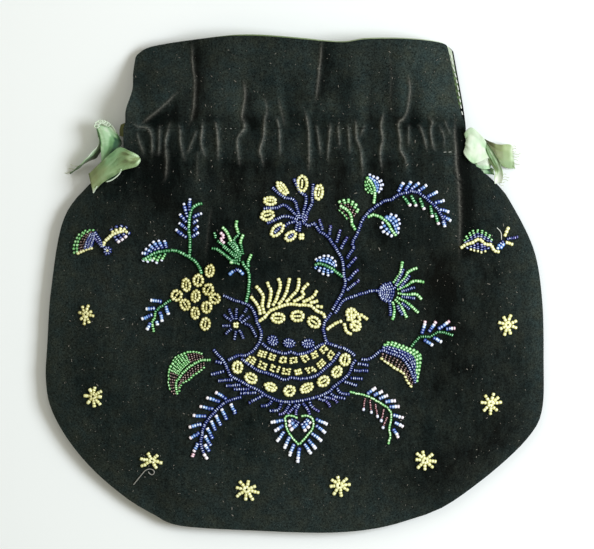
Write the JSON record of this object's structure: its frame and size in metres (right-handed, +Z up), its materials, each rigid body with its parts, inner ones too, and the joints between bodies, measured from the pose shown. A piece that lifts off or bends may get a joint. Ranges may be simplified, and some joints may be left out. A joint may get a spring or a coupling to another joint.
{
  "type": "beaded velvet reticule",
  "caption": "Black velvet drawstring reticule lying flat, with gathered casing, silk ribbon ties, silk lining and floral seed-bead embroidery of a flower basket on its front",
  "frame": {"origin": "centre of the bag's outline, on the surface that it lies on", "axes": "X to the right and Y toward the mouth as seen from above, Z up out of the beaded front"},
  "size_m": [0.2244, 0.2234, 0.0168],
  "materials": {
    "velvet": "black cotton-backed silk velvet with a dense short pile, a little rubbed on the folds",
    "lining_silk": "plain green silk, soft sheen",
    "ribbon_silk": "pale green ribbed silk ribbon with fine looped edges",
    "yellow_beads": "opaque golden yellow glass seed beads",
    "blue_beads": "opaque royal and light blue glass seed beads with white tips",
    "green_beads": "opaque leaf green glass seed beads",
    "pale_beads": "opaque white, pale pink and pale green glass seed beads"
  },
  "bodies": {
    "root": {"front_panel": "velvet", "back_panel": "velvet", "front_lining": "lining_silk", "back_lining": "lining_silk", "front_drawstring": "ribbon_silk", "back_drawstring": "ribbon_silk", "left_knot": "ribbon_silk", "right_knot": "ribbon_silk", "left_upper_loop": "ribbon_silk", "left_lower_loop": "ribbon_silk", "left_tail": "ribbon_silk", "right_upper_loop": "ribbon_silk", "right_fold": "ribbon_silk", "right_tail": "ribbon_silk", "star_left_upper": "yellow_beads", "star_left_lower": "yellow_beads", "star_base_left": "yellow_beads", "star_base_middle_left": "yellow_beads", "star_base_middle_right": "yellow_beads", "star_base_right": "yellow_beads", "star_right_lower": "yellow_beads", "star_right_upper": "yellow_beads", "right_insect": "yellow_beads", "grape_cluster": "yellow_beads", "fuchsia": "yellow_beads", "yellow_blossom": "yellow_beads", "basket_plume": "yellow_beads", "upper_ring_left": "yellow_beads", "upper_ring_middle": "yellow_beads", "upper_ring_right": "yellow_beads", "bowl_ring_1": "yellow_beads", "bowl_ring_2": "yellow_beads", "bowl_ring_3": "yellow_beads", "bowl_ring_4": "yellow_beads", "bowl_ring_5": "yellow_beads", "bowl_ring_6": "yellow_beads", "bowl_ring_7": "yellow_beads", "bowl_ring_8": "yellow_beads", "block_row_upper": "yellow_beads", "lavender_sprig": "blue_beads", "small_sprig": "blue_beads", "daisy": "blue_beads", "tall_stem": "blue_beads", "right_branch": "blue_beads", "basket_outline": "blue_beads", "middle_ring_left": "blue_beads", "middle_ring_centre": "blue_beads", "middle_ring_right": "blue_beads", "block_row_lower": "blue_beads", "left_insect": "green_beads", "bud_spray": "green_beads", "thistle": "green_beads", "left_leaf": "green_beads", "right_leaf": "green_beads", "left_feather": "pale_beads", "heart_flower": "pale_beads", "right_feather": "pale_beads"}
  },
  "joints": []
}
